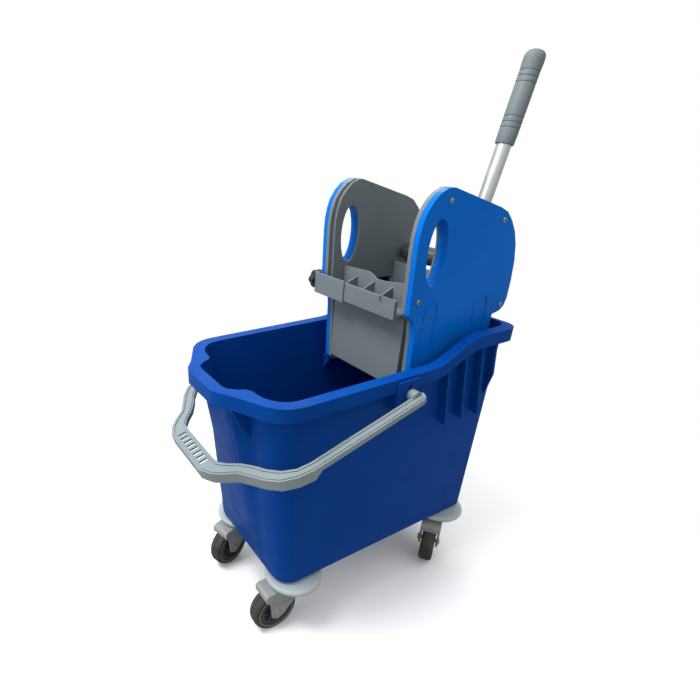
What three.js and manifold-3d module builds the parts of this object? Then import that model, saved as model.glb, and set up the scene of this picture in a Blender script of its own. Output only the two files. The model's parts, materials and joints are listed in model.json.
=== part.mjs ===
// Mobile mop bucket with a down-press wringer. Millimetres, +Z up, front (nose) towards -X.
import * as THREE from 'three';
import Module from 'manifold-3d';

const wasm = await Module();
wasm.setup();
const { Manifold, CrossSection } = wasm;

// ---- driving dimensions -------------------------------------------------------------
const RIM_HALF = 135;          // half width over the rim
const WALL_TOP_HALF = 120;     // half width of the tub wall just under the rim
const WALL_LOW_HALF = 112;     // half width of the tub at its floor
const WALL = 3;                // moulding thickness
const GROUND_Z = -18;          // floor the wheels stand on
const RIM_Z = 422;             // rim top at the front
const RIM_BACK_Z = 455;        // rim top around the wringer
const BAND = 21;               // depth of the turned-down rim band
const NOSE_X = -285;           // front edge of the rim
const BACK_X = 212;            // back edge of the rim
const PIVOT_X = -21;           // handle pivot
const PIVOT_Z = 396;
const BAIL_HALF = 162.5;        // half width over the handle arms
const BAIL_REACH = 303;        // pivot to the outside of the grip
const BAIL_DROP = 16.1;        // resting slope of the handle, degrees
const CASTOR_X = 169;          // swivel centres
const CASTOR_Y = 86;
const WHEEL_R = 40;
const FLOOR_Z = GROUND_Z + 2 * WHEEL_R + 21;   // underside of the tub, just above the castors
const WHEEL_W = 24;
const TRAIL = 38;              // swivel axis to axle
const BUMPER_R = 47;
const PLATE_Y = 100.5;         // outer face of the wringer side casings
const SHELL_Y = 80;            // inner face of the wringer side casings
const HUB_X = 160;             // lever shaft
const HUB_Z = 541;
const PITCH_R = 42;            // pitch radius of the drive sector
const TEETH_FULL = 30;         // teeth on the full pitch circle
const LEVER_Y = -46;           // lever offset along the shaft
const TUBE_R = 10.5;
const GRIP_TOP_Z = 834;
const PRESS_X = 140;           // press plate, front face side at rest
const FRONT_X = 10;            // fixed front plate
const GAP = 0.3;               // running gap between touching pieces

const MAT = {
  tub: [0x16429a, 0.45], casing: [0x0a5fc4, 0.4], shell: [0x6b757a, 0.55], light: [0xa8b8be, 0.5],
  fork: [0x8f9da2, 0.5], tyre: [0x14110f, 0.8], core: [0x3c4043, 0.6], steel: [0xb9bcc0, 0.3],
  alu: [0xd8e0e2, 0.35], grip: [0x808e93, 0.7], hub: [0x3a3f42, 0.55], knob: [0x0d1220, 0.5],
};
const group = new THREE.Group();

/** Adds a closed solid to the part as a named mesh. */
function put(name, solid, kind) {
  const m = solid.getMesh();
  const g = new THREE.BufferGeometry();
  g.setAttribute('position', new THREE.BufferAttribute(new Float32Array(m.vertProperties), 3));
  g.setIndex(new THREE.BufferAttribute(new Uint32Array(m.triVerts), 1));
  g.computeVertexNormals();
  const [color, roughness] = MAT[kind];
  const metalness = kind === 'steel' || kind === 'alu' ? 0.9 : 0;
  const mesh = new THREE.Mesh(g, new THREE.MeshStandardMaterial({ color, roughness, metalness }));
  mesh.name = name;
  group.add(mesh);
}

// ---- solid helpers ------------------------------------------------------------------
const area = (p) => p.reduce((s, a, i) => {
  const b = p[(i + 1) % p.length];
  return s + a[0] * b[1] - b[0] * a[1];
}, 0);
const ccw = (p) => (area(p) < 0 ? [...p].reverse() : p);
const section = (p) => new CrossSection([ccw(p)], 'Positive');
const solidZ = (cs, z0, z1) => cs.extrude(z1 - z0).translate([0, 0, z0]);
const solidY = (cs, y0, y1) => cs.extrude(y1 - y0).rotate([90, 0, 0]).translate([0, y1, 0]);
const TO_X = [0, 1, 0, 0, 0, 0, 1, 0, 1, 0, 0, 0, 0, 0, 0, 1];
const solidX = (cs, x0, x1) => cs.extrude(x1 - x0).transform(TO_X).translate([x0, 0, 0]);
const box = (x0, x1, y0, y1, z0, z1) =>
  Manifold.cube([x1 - x0, y1 - y0, z1 - z0]).translate([x0, y0, z0]);
const rodZ = (x, y, r, z0, z1, n = 16) => Manifold.cylinder(z1 - z0, r, r, n).translate([x, y, z0]);
const rodY = (x, z, r, y0, y1, n = 16) =>
  Manifold.cylinder(y1 - y0, r, r, n).rotate([90, 0, 0]).translate([x, y1, z]);
const mirrorY = (s) => s.mirror([0, 1, 0]);
const both = (s) => s.add(mirrorY(s));
const oval = (cx, cy, a, b, n = 32) => Array.from({ length: n }, (_, i) => {
  const t = (i / n) * 2 * Math.PI;
  return [cx + a * Math.cos(t), cy + b * Math.sin(t)];
});
const inward = (cs, d) => cs.offset(-d, 'Miter', 2);
const round = (cs, r, n = 12) => cs.offset(-r, 'Miter', 2).offset(r, 'Round', 2, n);

/** Solid of revolution about +Z from [radius, z] points. */
const lathe = (pts, n = 24) => section(pts).revolve(n);

/** Solid through a list of rings with equal point counts. */
function loft(rings) {
  const n = rings[0].length;
  const verts = rings.flat();
  const tris = [];
  for (let k = 0; k + 1 < rings.length; k++) {
    for (let i = 0; i < n; i++) {
      const a = k * n + i, b = k * n + ((i + 1) % n);
      tris.push(a, b, b + n, a, b + n, a + n);
    }
  }
  const flat = rings[0].map((p) => new THREE.Vector2(p[0], p[1]));
  for (const [a, b, c] of THREE.ShapeUtils.triangulateShape(flat, [])) {
    tris.push(a, c, b);
    const o = (rings.length - 1) * n;
    tris.push(o + a, o + b, o + c);
  }
  return new Manifold(new wasm.Mesh({
    numProp: 3, vertProperties: new Float32Array(verts.flat()), triVerts: new Uint32Array(tris),
  }));
}

// ---- tub ----------------------------------------------------------------------------
/** Height of the rim top along the length. */
function rimTop(x) {
  const t = Math.min(1, Math.max(0, (x - 27) / 98));
  return RIM_Z + (RIM_BACK_Z - RIM_Z) * t * t * (3 - 2 * t);
}

const corner = (cx, cy, r, a0, a1, n) => Array.from({ length: n + 1 }, (_, i) => {
  const t = THREE.MathUtils.degToRad(a0 + ((a1 - a0) * i) / n);
  return [cx + r * Math.cos(t), cy + r * Math.sin(t)];
});
const withMirror = (half) => {
  const back = half.filter(([, y]) => y > 0.01).map(([x, y]) => [x, -y]).reverse();
  return [...half, ...back];
};

/** Half plans run from the nose centre, along +Y, to the middle of the back. */
function wallPlans() {
  const h = WALL_TOP_HALF;
  const top = [[-269, 0], [-269, 34], [-265, 45], [-255, 54], [-245, 59], [-241, 65], [-240, 76],
    [-238, 88], [-232, 100], [-224, 110], [-212, h - 2.5], [-198, h],
    ...corner(BACK_X - 4 - 24, h - 24, 24, 90, 0, 5), [BACK_X - 4, 0]];
  const w = WALL_LOW_HALF;
  const low = [[-209, 0], [-209, 24], [-209, 38], [-209, 50], [-209, 60], [-209, 69], [-209, 80],
    [-207.5, w - 22], [-204, w - 13.5], [-198, w - 6.5], [-190, w - 1.8], [-180, w],
    ...corner(205 - 14, w - 14, 14, 90, 0, 5), [205, 0]];
  return [low, top];
}

function tubWall() {
  const [low, top] = wallPlans().map((h) => ccw(withMirror(h)));
  const mix = (t) => low.map((p, i) => [p[0] + (top[i][0] - p[0]) * t, p[1] + (top[i][1] - p[1]) * t]);
  const inset = (pts, d) => pts.map((p, i) => {
    const a = pts[(i + pts.length - 1) % pts.length], b = pts[(i + 1) % pts.length];
    const t = new THREE.Vector2(b[0] - a[0], b[1] - a[1]).normalize();
    return [p[0] - t.y * d, p[1] + t.x * d];
  });
  // corner steps fade out towards the floor, so the blend runs ahead of the height near the top
  const heights = [0, 0.4, 0.75, 1];
  const ring = (d, t) => inset(mix(t), d).map(([x, y]) => [x, y, FLOOR_Z + (RIM_Z - FLOOR_Z) * t]);
  const foot = inset(low, 5).map(([x, y]) => [x, y, FLOOR_Z]);
  const outer = loft([foot, ring(0, 0).map(([x, y]) => [x, y, FLOOR_Z + 6]), ...heights.slice(1)
    .map((t) => ring(0, t)), ring(0, 1).map(([x, y]) => [x, y, RIM_BACK_Z])]);
  const inner = loft([inset(low, 7).map(([x, y]) => [x, y, FLOOR_Z + WALL]),
    ring(WALL, 0).map(([x, y]) => [x, y, FLOOR_Z + 9]), ...heights.slice(1).map((t) => ring(WALL, t)),
    ring(WALL, 1).map(([x, y]) => [x, y, RIM_BACK_Z + 5])]);
  return { outer, inner };
}

function rimOutline() {
  const h = RIM_HALF;
  return section(withMirror([[NOSE_X, 0], [NOSE_X, 36], [-281.5, 45], [-269, 63], [-255, 90], [-244, 111],
    [-234, 123], [-222, 130.5], [-208, 134.3], [-194, h],
    ...corner(BACK_X - 24, h - 24, 24, 90, 0, 8), [BACK_X, 0]]));
}

/** Strip that follows the rim height, between two depths below it. */
function rimStrip(deep, shallow) {
  const xs = [-300, 20, ...Array.from({ length: 10 }, (_, i) => 33 + i * 10.2), 260];
  const up = xs.map((x) => [x, rimTop(x) - shallow]);
  const down = [...xs].reverse().map((x) => [x, rimTop(x) - deep]);
  return solidY(section([...up, ...down]), -200, 200);
}

function makeTub() {
  const { outer, inner } = tubWall();
  const plan = rimOutline();
  const lip = solidZ(plan, 380, 470).intersect(rimStrip(WALL, 0));
  const bandRing = solidZ(plan.subtract(inward(plan, WALL)), 380, 470);
  const band = bandRing.intersect(rimStrip(BAND, 0));
  let tub = outer.intersect(rimStrip(400, 1)).add(lip).add(band);
  // leaning gussets below the raised rim, and fins beside the nose
  const rib = (x, foot) => {
    const top = rimTop(x) - 2, lean = 0.18;
    const plate = solidX(section([[100, top], [RIM_HALF - 2, top], [RIM_HALF - 3, foot + 40],
      [RIM_HALF - 3 - (foot > 320 ? 12 : 0), foot], [110, foot + 6]]), x - 2, x + 2);
    return plate.transform([1, 0, 0, 0, 0, 1, 0, 0, -lean, 0, 1, 0, lean * 409, 0, 0, 1]);
  };
  for (const [x, foot] of [[63, 309], [101, 310], [139, 308], [170, 338]]) tub = tub.add(both(rib(x, foot)));
  const fin = solidY(section([[-270, RIM_Z - 2], [-240, RIM_Z - 2], [-236, 352], [-240, 352],
    [-246, 360], [-262, 388], [-268, 401]]), 57, 61);
  tub = tub.add(both(fin));
  const lug = box(PIVOT_X - 24, PIVOT_X + 15, 114, 139, PIVOT_Z - 24, RIM_Z - 4);
  const lugRoom = box(PIVOT_X - 20.5, PIVOT_X + 11.5, 122, 135.5, PIVOT_Z - 40, RIM_Z - 8);
  tub = tub.add(both(lug.subtract(lugRoom)));
  const shelf = solidX(section([[95, 354.5], [118, 354.5], [118, 318], [113, 326]]), 24, 172);
  tub = tub.subtract(inner).add(both(shelf.intersect(outer)));
  tub = tub.subtract(both(rodY(PIVOT_X, PIVOT_Z, 5.3, 130, 145)));
  tub = tub.subtract(both(box(PIVOT_X - 5.5, PIVOT_X - 0.5, 130, 145, PIVOT_Z, PIVOT_Z + 15)));
  tub = tub.add(box(-60, 60, -55, 55, FLOOR_Z - 1.5, FLOOR_Z + 1));
  // castor sockets and a raised centre pad under the floor
  for (const [x, y] of castorCentres()) {
    tub = tub.add(rodZ(x, y, 14, FLOOR_Z + 1, FLOOR_Z + 24));
    tub = tub.subtract(rodZ(x, y, 6.3, FLOOR_Z - 10, FLOOR_Z + 20));
  }
  return tub;
}

// ---- castors ------------------------------------------------------------------------
const castorCentres = () => [[-CASTOR_X, -CASTOR_Y], [-CASTOR_X, CASTOR_Y],
  [CASTOR_X, -CASTOR_Y], [CASTOR_X, CASTOR_Y]];
const CASTORS = [['near_front', 180], ['far_front', 197], ['near_back', 214], ['far_back', 210]];
const AXLE_Z = GROUND_Z + WHEEL_R;
const FORK_TOP = AXLE_Z + WHEEL_R + 8;

function forkSolid() {
  const inner = WHEEL_W / 2 + 2;
  const a = AXLE_Z, r = WHEEL_R;
  const side = round(section([[-21, FORK_TOP], [TRAIL + 20, FORK_TOP], [TRAIL + 23, FORK_TOP - 4],
    [TRAIL + 23, FORK_TOP - 14], [TRAIL + 15, FORK_TOP - 20], [TRAIL + 11, a - 6], [TRAIL, a - 12],
    [TRAIL - 11, a - 6], [2, a + r * 0.55], [-21, FORK_TOP - 7]]), 3);
  const body = solidY(side, -inner - 3.5, inner + 3.5);
  const room = rodY(TRAIL, a, r + 2.2, -inner, inner, 24)
    .add(box(TRAIL - 80, TRAIL + 8, -inner, inner, a - 60, a + r * 0.5))
    .add(box(TRAIL, TRAIL + 60, -inner, inner, a - 60, FORK_TOP - 14.5));
  return body.add(rodZ(0, 0, 23, FORK_TOP - 5, FORK_TOP, 20)).subtract(room)
    .subtract(rodY(TRAIL, a, 3.8, -40, 40)).subtract(rodZ(0, 0, 6.3, FORK_TOP - 20, FORK_TOP + 20));
}

function makeCastors() {
  const half = WHEEL_W / 2, rim = WHEEL_R * 0.68, b = FORK_TOP + 2.4;
  const bumper = lathe([[7, b], [BUMPER_R - 4, b], [BUMPER_R, b + 3], [BUMPER_R, FLOOR_Z - 4],
    [BUMPER_R - 3, FLOOR_Z - GAP], [7, FLOOR_Z - GAP]], 24);
  const stem = lathe([[0, FORK_TOP - 3], [0, FLOOR_Z + 18], [5, FLOOR_Z + 18], [6, FLOOR_Z + 16],
    [6, b - GAP], [15, b - GAP], [15, FORK_TOP + GAP], [6, FORK_TOP + GAP], [6, FORK_TOP - 3]], 10);
  const fork = forkSolid();
  const axle = rodY(0, 0, 3.5, -half - 5.8, half + 5.8, 8)
    .add(both(lathe([[0, 0], [6.5, 0], [5.5, 2.6], [0, 2.6]], 8).rotate([-90, 0, 0])
      .translate([0, half + 5.7, 0]))).translate([TRAIL, 0, AXLE_Z]);
  const core = lathe([[3.9, -half], [9, -half], [10, -half + 4], [rim - 3, -half + 4],
    [rim, -half + 1], [rim, half - 1], [rim - 3, half - 4], [10, half - 4], [9, half],
    [3.9, half]], 16).rotate([90, 0, 0]).translate([TRAIL, 0, AXLE_Z]);
  const tyre = lathe([[rim + GAP, -half + 1], [WHEEL_R - 4, -half], [WHEEL_R, -half + 4],
    [WHEEL_R, half - 4], [WHEEL_R - 4, half], [rim + GAP, half - 1]], 24)
    .rotate([90, 0, 0]).translate([TRAIL, 0, AXLE_Z]);
  CASTORS.forEach(([name, turn], i) => {
    const [x, y] = castorCentres()[i];
    const at = (s) => s.rotate([0, 0, turn]).translate([x, y, 0]);
    put(`castor_bumper_${name}`, at(bumper), 'light');
    put(`castor_stem_${name}`, at(stem), 'steel');
    put(`castor_fork_${name}`, at(fork), 'fork');
    put(`castor_axle_${name}`, at(axle), 'steel');
    put(`castor_wheel_${name}`, at(core), 'core');
    put(`castor_tyre_${name}`, at(tyre), 'tyre');
  });
}

// ---- carrying handle ----------------------------------------------------------------
const BAIL_EYE = 2;            // pivot height above the underside of the handle's flange

function makeBail() {
  const r = BAIL_REACH, w = BAIL_HALF;
  // outlines lie in the handle's own plane: [distance from pivot, half width]
  const outHalf = [[r, 0], [r, 50], [294, 69], [283, 81], [267, 94], [257, 111], [246, 131],
    [232, 148], [212, 158], [188, w], [0, w], [-8, w - 2.5], [-12, w - 9]];
  const inHalf = [[-12, w - 13], [-4, 147], [184, 147], [203, 144], [220, 133], [233, 116],
    [241, 100], [252, 83], [267, 68], [275, 57], [277, 44], [277, 0]];
  const mir = (p) => p.filter(([, y]) => y > 0).map(([x, y]) => [x, -y]).reverse();
  const loop = [...outHalf, ...inHalf];
  const strip = section([...loop, ...mir(loop)]);
  const shell = section([...outHalf, ...mir(outHalf)]);
  const rim = shell.subtract(inward(shell, 3)).intersect(strip);
  const edge = strip.subtract(inward(strip, 3));
  // the skirt is deep around the grip and shallow along the arms
  const deep = solidY(section([[-20, -5], [178, -5], [190, -14], [320, -14], [320, 3], [-20, 3]]), -200, 200);
  let bail = solidZ(strip, 0, 3).add(solidZ(rim, -14, 3).intersect(deep)).add(solidZ(edge, -5, 3));
  const ridge = inward(strip, 2.5).subtract(inward(strip, 5));
  bail = bail.add(solidZ(ridge, 2, 4.6));
  const eye = rodY(0, BAIL_EYE, 8.5, 139.5, 152, 20).add(box(-8.5, 8.5, 147, 152, -5, BAIL_EYE));
  bail = bail.add(both(eye)).subtract(both(rodY(0, BAIL_EYE, 5.4, 130, 149.4, 20)));
  // finger slots through the grip
  for (let i = -3.5; i < 4; i++) bail = bail.subtract(box(283, 296, i * 11 - 2.6, i * 11 + 2.6, -5, 9));
  return bail.rotate([0, 0, 180]).translate([0, 0, -BAIL_EYE]).rotate([0, -BAIL_DROP, 0])
    .translate([PIVOT_X, 0, PIVOT_Z]);
}

function makeBailPin() {
  return rodY(PIVOT_X, PIVOT_Z, 5, 131, 149, 20);
}

// ---- wringer ------------------------------------------------------------------------
function casingOutline() {
  return section([[-7.5, 604], [-5, 620], [0, 635], [9, 648], [20, 658], [33, 663.5], [46, 664],
    [150, 634], [167, 627], [181, 614], [194, 597], [203, 578], [210, 552], [213, 521], [213, 493],
    [209, 480], [200, 473], [184, 470], [183, 440], [178, 362], [170, 355], [22, 355], [16, 362],
    [14, 400], [12, 458], [9, 483], [-6, 497], [-6, 515], [-6.5, 540], [-7.5, 565], [-8, 588]]);
}
const SEAM_Y = 91.5;           // where the blue shell meets the inner panel
const HOLE = [31, 580, 18.5, 46];
const SCREWS = [[42, 648], [162, 616], [9, 515], [199, 483.8]];
const PRESS_SLOT = [PRESS_X - 12 - PITCH_R * 1.0472, PRESS_X + 12, HUB_Z - PITCH_R - 17,
  HUB_Z - PITCH_R - 1];

function archRidge(cx, top, r, foot) {
  const s = section([[cx - r, foot], ...corner(cx, top - r, r, 180, 0, 8), [cx + r, foot]]);
  const ring = s.subtract(inward(s, 3));
  const cut = box(cx - 60, cx + 60, 90, 120, foot - 5, foot + 3.5);
  return solidY(ring, PLATE_Y - 1, PLATE_Y + 1.1).subtract(cut);
}

function makeOuterCasing() {
  const plan = casingOutline();
  const shell = solidY(plan, SEAM_Y + GAP, PLATE_Y)
    .subtract(solidY(inward(plan, 2.8), SEAM_Y - 1, PLATE_Y - 3));
  const lining = section(oval(HOLE[0], HOLE[1], HOLE[2] + 2.5, HOLE[3] + 2.5, 24));
  let out = shell.add(solidY(lining, SHELL_Y + 4, PLATE_Y));
  out = out.subtract(solidY(section(oval(...HOLE, 24)), 60, 120));
  out = out.add(archRidge(39, 514, 14, 430)).add(archRidge(150, 508, 16, 430));
  out = out.add(rodY(HUB_X, HUB_Z, 12, PLATE_Y - 7, PLATE_Y - 2, 16));
  for (const [x, z] of SCREWS) out = out.subtract(rodY(x, z, 2.1, 90, 110, 8));
  return out.subtract(rodY(HUB_X, HUB_Z, 7.4, 80, PLATE_Y - 2.5, 16));
}

function makeInnerCasing() {
  const plan = casingOutline();
  // the panel's face stands back from the front edge in one step
  const face = plan.intersect(plan.translate([7, 0]));
  let out = solidY(plan, SHELL_Y + 5, SEAM_Y).add(solidY(face, SHELL_Y, SHELL_Y + 6))
    .subtract(solidY(inward(plan, 2.8), SHELL_Y + 8, SEAM_Y + 1))
    .subtract(solidY(inward(face, 2.8), SHELL_Y + 3, SEAM_Y + 1));
  const lining = section(oval(HOLE[0], HOLE[1], HOLE[2] + 2.8, HOLE[3] + 2.8, 24));
  out = out.subtract(solidY(section(oval(...HOLE, 24)), 60, 120));
  out = out.subtract(solidY(lining, SHELL_Y + 3.7, 120));
  for (const [x, z] of SCREWS) {
    out = out.add(rodY(x, z, 4.2, SHELL_Y + 1, PLATE_Y - 3 - GAP, 8));
    out = out.subtract(rodY(x, z, 1.8, SHELL_Y + 4, 110, 8));
  }
  const [x0, x1, z0, z1] = PRESS_SLOT;
  out = out.subtract(box(x0, x1, 70, 85, z0, z1));
  return out.subtract(rodY(HUB_X, HUB_Z, 7.4, 70, 85, 16));
}

function makeScrew(x, z) {
  const profile = [[0, 0], [3.8, 0], [3.2, 1.7], [0, 1.7]];
  const head = lathe(profile, 10).rotate([-90, 0, 0]).translate([x, PLATE_Y + GAP, z]);
  const slot = box(x - 3, x + 3, PLATE_Y + 1.2, PLATE_Y + 4, z - 0.5, z + 0.5);
  return head.add(rodY(x, z, 1.5, PLATE_Y - 12, PLATE_Y + 1, 6)).subtract(slot);
}

/** Fixed front plate with the open tray along its top. */
function makeTray() {
  const w = SHELL_Y - GAP;
  const lip = section([[-w, 486], [w, 486], [w, 514], [-47, 514], [-50, 505], [-56, 501], [-68, 501],
    [-75, 505], [-78, 514], [-w, 514]]);
  const wave = section([[-w, 488], [w, 488], [w, 528], [22, 531], [12, 528], [2, 523], [-15, 523.5],
    [-57, 529], [-w, 529]]);
  let out = solidX(lip, -14, -11.5).add(solidX(wave, 25, 28)).add(box(-12, 28, -w, w, 488, 491));
  out = out.add(box(-10.5, -8.5, -w, w, 490, 514)).add(box(-13, -9, -46, w, 510, 512));
  out = out.add(box(FRONT_X, FRONT_X + 3, -w, w, 371, 489));
  out = out.add(box(-14, -11, -w, w, 499, 501.5)).add(box(-13.2, -11, -w, w, 486, 488.5));
  for (const y of [44, 4, -36]) {
    out = out.add(solidY(section([[-10, 490], [26, 490], [26, 519], [20, 517], [-10, 504]]), y, y + 2.5));
  }
  for (const y of [-60, -30, 0, 30, 60]) out = out.add(box(FRONT_X + 2, 17, y - 1.5, y + 1.5, 378, 489));
  const returns = box(FRONT_X, 24, w - 3, w, 371, 489);
  out = out.add(both(returns));
  return out.subtract(box(0, 40, -w - 1, -w + 8, 360, 378));
}

const KNOB_X = -6, KNOB_Z = 503;

function makeBracket() {
  const face = -16.6;
  const outer = box(face, 4.4, 30, PLATE_Y + 3.9, 483, 518);
  const inner = box(face + 2.4, 30, 20, PLATE_Y + 1.2, 470, 530);
  const flange = box(face, face + 5, 30, PLATE_Y + 3.9, 515, 518).subtract(inner);
  return outer.subtract(inner).add(flange).subtract(rodY(KNOB_X, KNOB_Z, 3.4, 90, 120, 16));
}

function makeKnob() {
  const lobes = Array.from({ length: 24 }, (_, i) => {
    const t = (i / 24) * 2 * Math.PI;
    const r = 15.6 + 1.1 * Math.cos(6 * t);
    return [r * Math.cos(t), r * Math.sin(t)];
  });
  const y0 = PLATE_Y + 4.3;
  const cap = solidY(section(lobes), y0, y0 + 12).translate([KNOB_X, 0, KNOB_Z]);
  return cap.add(rodY(KNOB_X, KNOB_Z, 9, y0 + 11, y0 + 15, 16))
    .add(rodY(KNOB_X, KNOB_Z, 3, PLATE_Y + 0.4, y0 + 1, 12));
}

/** Perforated floor and back wall of the press chamber. */
function makeSieve() {
  const w = SHELL_Y - GAP;
  let out = box(25, 176, -w, w, 372, 375).add(box(173, 176, -w, w, 372, 462));
  for (const x of [60, 100, 140]) out = out.add(box(x - 1.5, x + 1.5, -w, w, 366, 373));
  for (let i = 0; i < 5; i++) {
    for (const x of [35, 67, 107, 147]) {
      const y = -60 + i * 30;
      out = out.subtract(box(x, x + 20, y - 5, y + 5, 360, 380));
    }
  }
  for (const y of [-45, -15, 15, 45]) out = out.subtract(box(170, 180, y - 5, y + 5, 395, 440));
  return out;
}

// ---- press drive --------------------------------------------------------------------
const PITCH = (2 * Math.PI * PITCH_R) / TEETH_FULL;
const TOOTH = { add: 2.7, ded: 3.4, half: PITCH * 0.19, slope: 0.36 };

function makeSector() {
  const { add, ded, half, slope } = TOOTH;
  const root = PITCH_R - ded;
  const fan = [[0, 0]];
  for (let a = -14; a <= 76; a += 5) {
    const t = THREE.MathUtils.degToRad(a);
    fan.push([root * Math.sin(t), -root * Math.cos(t)]);
  }
  let cs = section(fan);
  for (let k = -1; k <= 6; k++) {
    const t = ((k + 0.5) * 2 * Math.PI) / TEETH_FULL;
    const tooth = [[-half - ded * slope, -root + 1], [half + ded * slope, -root + 1],
      [half - add * slope, -PITCH_R - add], [-half + add * slope, -PITCH_R - add]];
    cs = cs.add(section(tooth).rotate(THREE.MathUtils.radToDeg(t)));
  }
  cs = cs.add(section(oval(0, 0, 13, 13, 16))).subtract(section(oval(0, 0, 7 + GAP, 7 + GAP, 16)));
  return solidY(cs, SHELL_Y + 6, SHELL_Y + 11).translate([HUB_X, 0, HUB_Z]);
}

function makeRack() {
  const { add, ded, half, slope } = TOOTH;
  const line = HUB_Z - PITCH_R;
  const x0 = PRESS_X - 4, x1 = 208;
  let cs = section([[x0, line - ded - 7], [x1, line - ded - 7], [x1, line - ded], [x0, line - ded]]);
  for (let k = 0; k <= 5; k++) {
    const x = HUB_X + k * PITCH;
    cs = cs.add(section([[x - half - ded * slope, line - ded - 1], [x + half + ded * slope, line - ded - 1],
      [x + half - add * slope, line + add], [x - half + add * slope, line + add]]));
  }
  return solidY(cs, SHELL_Y + 6, SHELL_Y + 12);
}

function makePress() {
  const w = SHELL_Y - 1;
  let out = box(PRESS_X, PRESS_X + 3, -w, w, 382, 524).add(box(PRESS_X, PRESS_X + 9, -w, w, 515, 518));
  for (const z of [386, 420, 455, 488]) out = out.add(box(PRESS_X + 2, PRESS_X + 10, -w, w, z, z + 3));
  for (const y of [-60, -20, 20, 60]) {
    out = out.add(box(PRESS_X + 2, PRESS_X + 10, y - 1.5, y + 1.5, 383, 517));
  }
  const line = HUB_Z - PITCH_R - TOOTH.ded;
  out = out.add(both(box(PRESS_X - 3, PRESS_X + 6, w - 4, SHELL_Y + 5.7, line - 8, line - 1)));
  return out;
}

function makeSpring() {
  const inner = [], outer = [];
  for (let i = 0; i <= 26; i++) {
    const t = (i / 26) * 2 * Math.PI * 2.6;
    const r = 8.2 + (i / 26) * 13;
    outer.push([(r + 1) * Math.cos(t), (r + 1) * Math.sin(t)]);
    inner.unshift([r * Math.cos(t), r * Math.sin(t)]);
  }
  return solidY(section([...outer, ...inner]), SHELL_Y + 11.6, SHELL_Y + 13.2)
    .translate([HUB_X, 0, HUB_Z]);
}

// ---- lever --------------------------------------------------------------------------
const LEAN = 13.8;
const leverAt = (s, bend = 0) => {
  const a = THREE.MathUtils.degToRad(LEAN - bend);
  return [HUB_X + s * Math.sin(a), HUB_Z + s * Math.cos(a)];
};
const GRIP_AT = 178;           // distance from the shaft to the lower end of the grip
const GRIP_END = (GRIP_TOP_Z - HUB_Z) / Math.cos(THREE.MathUtils.degToRad(LEAN));

/** Places a solid modelled along +Z onto the leaning lever. */
const onLever = (s) => s.rotate([0, LEAN, 0]).translate([HUB_X, LEVER_Y, HUB_Z]);

function makeHub() {
  const t = TUBE_R;
  const barrel = lathe([[7 + GAP, -78], [13, -78], [15, -76], [15, 52], [19, 54], [19, 60], [15.5, 62],
    [14.5, 70], [12, 76], [7 + GAP, 78.5]], 20).rotate([-90, 0, 0]).translate([HUB_X, 0, HUB_Z]);
  const socket = onLever(lathe([[0, 8], [t + 6.5, 8], [t + 6.5, 52], [t + 5, 56], [t + 4, 66], [0, 66]], 20));
  const bore = onLever(lathe([[0, 19], [TUBE_R + GAP, 19], [TUBE_R + GAP, 80], [0, 80]], 20));
  const shaftRoom = rodY(HUB_X, HUB_Z, 7 + GAP, -90, 90, 20);
  return barrel.add(socket).subtract(bore).subtract(shaftRoom);
}

function makeTube() {
  const ring = (r0, r1) => [[r0, 20], [r1, 20], [r1, GRIP_END - 14], [r0, GRIP_END - 14]];
  return onLever(lathe(ring(TUBE_R - 1.6, TUBE_R), 20));
}

function makeGrip() {
  const end = GRIP_END, t = TUBE_R;
  const prof = [[t + GAP, GRIP_AT], [t + 2.5, GRIP_AT], [t + 3.1, GRIP_AT + 3]];
  const groove = (s) =>
    prof.push([t + 3.3, s], [t + 2.3, s + 1.2], [t + 2.3, s + 2.6], [t + 3.3, s + 3.8]);
  for (let i = 0; i < 3; i++) groove(GRIP_AT + 16 + i * 9);
  for (let i = 0; i < 3; i++) groove(end - 50 + i * 9);
  prof.push([t + 4.1, end - 18], [t + 3.9, end - 9], [t + 2, end - 3.5], [t - 2.5, end - 0.8], [0, end],
    [0, end - 12], [t + GAP, end - 12]);
  return onLever(lathe(prof, 16));
}

function makeShaft() {
  return rodY(HUB_X, HUB_Z, 7, -PLATE_Y + 3, PLATE_Y - 3, 16);
}

// ---- assembly -----------------------------------------------------------------------
put('bucket_tub', makeTub(), 'tub');
makeCastors();
put('bail_handle', makeBail(), 'light');
const pin = makeBailPin();
put('bail_pin_near', mirrorY(pin), 'hub');
put('bail_pin_far', pin, 'hub');
const sides = [['near', mirrorY], ['far', (s) => s]];
for (const [side, place] of sides) {
  put(`casing_outer_${side}`, place(makeOuterCasing()), 'casing');
  put(`casing_inner_${side}`, place(makeInnerCasing()), 'shell');
  SCREWS.forEach(([x, z], i) => put(`casing_screw_${side}_${i + 1}`, place(makeScrew(x, z)), 'steel'));
  put(`drive_sector_${side}`, place(makeSector()), 'steel');
  put(`press_rack_${side}`, place(makeRack()), 'steel');
  put(`return_spring_${side}`, place(makeSpring()), 'steel');
}
put('front_tray', makeTray(), 'shell');
put('chamber_sieve', makeSieve(), 'shell');
put('clamp_bracket', makeBracket(), 'shell');
put('clamp_knob', makeKnob(), 'knob');
put('press_plate', makePress(), 'shell');
put('lever_shaft', makeShaft(), 'steel');
put('lever_hub', makeHub(), 'hub');
put('lever_tube', makeTube(), 'alu');
put('lever_grip', makeGrip(), 'grip');

// the origin sits under the middle of the bounding box
const bounds = new THREE.Box3().setFromObject(group, true);
const shift = new THREE.Vector3(-(bounds.min.x + bounds.max.x) / 2,
  -(bounds.min.y + bounds.max.y) / 2, -bounds.min.z);
for (const mesh of group.children) mesh.geometry.translate(shift.x, shift.y, shift.z);

export default group;
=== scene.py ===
"""Looks for a wheeled mop bucket with a down-press wringer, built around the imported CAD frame."""
from __future__ import annotations

import json
import logging
import math
from dataclasses import dataclass, field
from enum import Enum

import bmesh
import bpy
from mathutils import Matrix, Vector


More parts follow.
